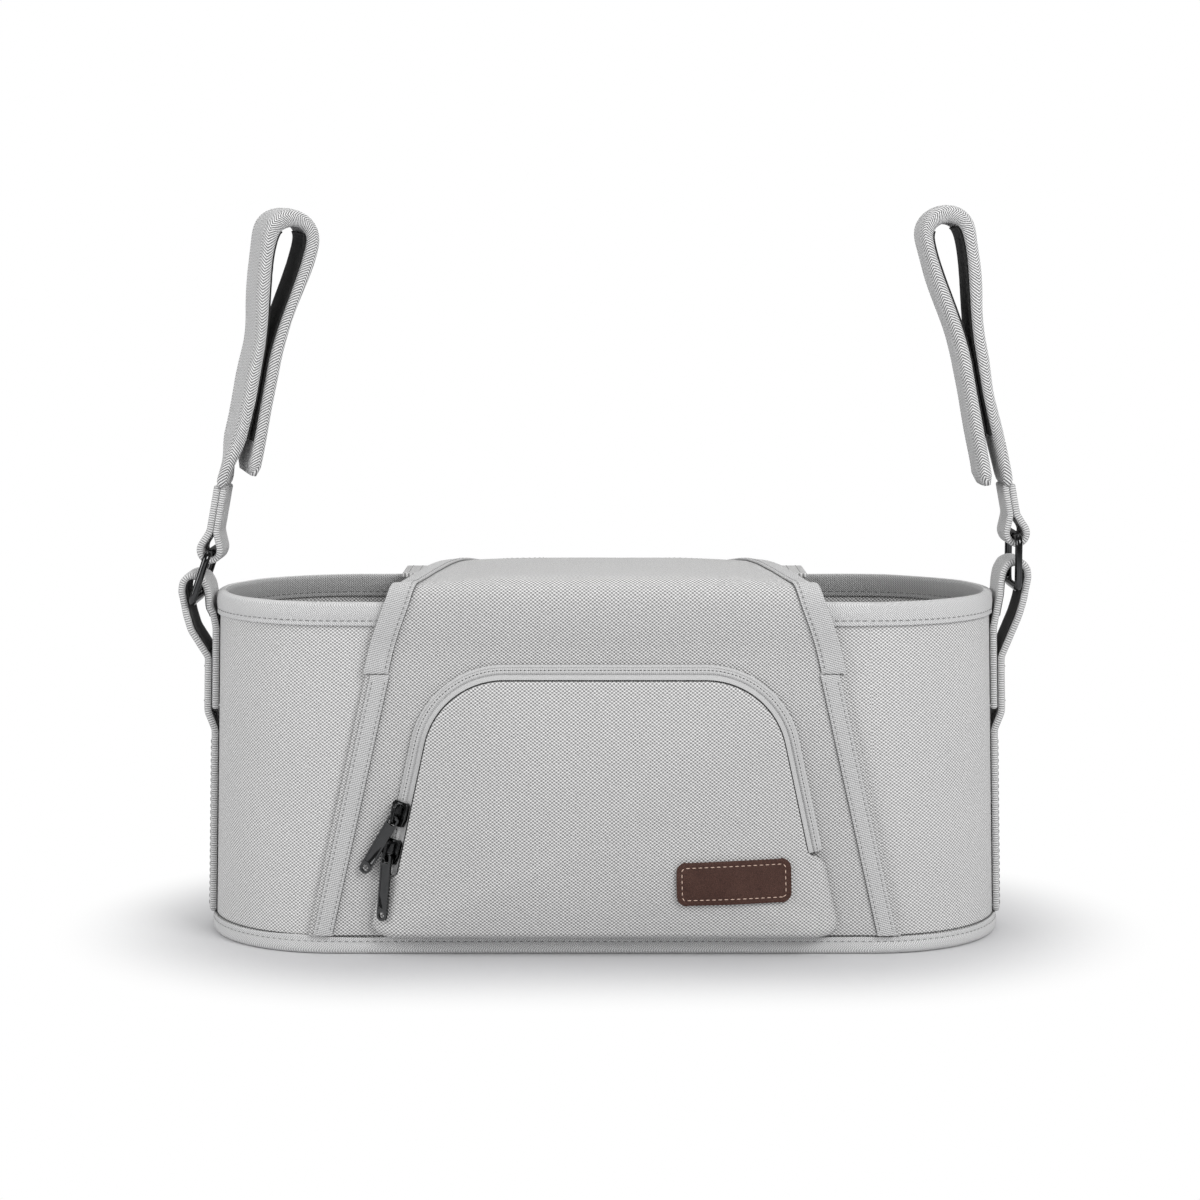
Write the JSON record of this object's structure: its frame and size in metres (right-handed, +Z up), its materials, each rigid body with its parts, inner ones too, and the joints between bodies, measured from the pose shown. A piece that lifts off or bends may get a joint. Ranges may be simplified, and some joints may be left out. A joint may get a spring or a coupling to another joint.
{
  "type": "stroller organizer",
  "caption": "Soft open caddy with cup holders, a flap, a zipped front pocket and end straps that close round a pushchair handlebar.",
  "frame": {"origin": "middle of the base, on the surface it stands on", "axes": "+X along the bag to the right-hand end seen from the front, +Y from the front pocket to the back, +Z up"},
  "size_m": [0.3874, 0.1435, 0.3301],
  "materials": {
    "cloth": "woven, matt",
    "tape": "woven tape, matt",
    "zip_chain": "zip coil and tape, matt",
    "lining": "woven, matt",
    "board": "stiff board",
    "leather": "smooth",
    "gunmetal": "polished gunmetal",
    "magnet": "plated",
    "hook_and_loop": "hook and loop pile"
  },
  "bodies": {
    "bag": {"base_board": "board", "base_panel": "cloth", "centre_panel": "cloth", "hem_binding": "tape", "leather_patch": "leather", "left_cup_liner": "lining", "left_divider": "lining", "left_end_webbing": "tape", "left_flap_binding": "tape", "left_flap_magnet": "magnet", "left_front_tape": "tape", "lower_slider": "gunmetal", "outer_wall": "cloth", "pocket_face": "cloth", "rear_flap": "cloth", "right_cup_liner": "lining", "right_divider": "lining", "right_end_webbing": "tape", "right_flap_binding": "tape", "right_flap_magnet": "magnet", "right_front_tape": "tape", "rim_binding": "tape", "zipper_chain": "zip_chain", "zipper_inner_tape": "tape", "zipper_outer_tape": "tape"},
    "left_ring": {"left_ring": "gunmetal"},
    "left_strap": {"left_link": "tape", "left_strap": "cloth", "left_hook_tape": "hook_and_loop", "left_loop_tape": "hook_and_loop"},
    "right_ring": {"right_ring": "gunmetal"},
    "right_strap": {"right_link": "tape", "right_strap": "cloth", "right_hook_tape": "hook_and_loop", "right_loop_tape": "hook_and_loop"},
    "upper_slider": {"upper_slider": "gunmetal"},
    "upper_pull": {"upper_pull": "gunmetal"},
    "lower_pull": {"lower_pull": "gunmetal"}
  },
  "joints": [
    {"name": "left_ring_hinge", "type": "hinge", "parent": "bag", "child": "left_ring", "pos_m": [-0.1875, 0, 0.152], "axis": [0, 1, 0], "range_deg": [-120, 16]},
    {"name": "left_strap_hinge", "type": "hinge", "parent": "left_ring", "child": "left_strap", "pos_m": [-0.17985, 0, 0.17422], "axis": [0, 1, 0], "range_deg": [-60, 35]},
    {"name": "right_ring_hinge", "type": "hinge", "parent": "bag", "child": "right_ring", "pos_m": [0.1875, 0, 0.1585], "axis": [0, 1, 0], "range_deg": [-35, 120]},
    {"name": "right_strap_hinge", "type": "hinge", "parent": "right_ring", "child": "right_strap", "pos_m": [0.1875, 0, 0.182], "axis": [0, 1, 0], "range_deg": [-35, 60]},
    {"name": "upper_slider_slide", "type": "slide", "parent": "bag", "child": "upper_slider", "axis": [0.2113, 0, 0.9774], "range_m": [0, 0.03]},
    {"name": "upper_pull_hinge", "type": "hinge", "parent": "upper_slider", "child": "upper_pull", "pos_m": [-0.09237, -0.06911, 0.063], "axis": [-0.8144, 0.2647, 0.5164], "range_deg": [0, 110]},
    {"name": "lower_pull_hinge", "type": "hinge", "parent": "bag", "child": "lower_pull", "pos_m": [-0.09596, -0.06911, 0.04638], "axis": [-0.8425, 0.5351, 0.0628], "range_deg": [0, 110]}
  ]
}
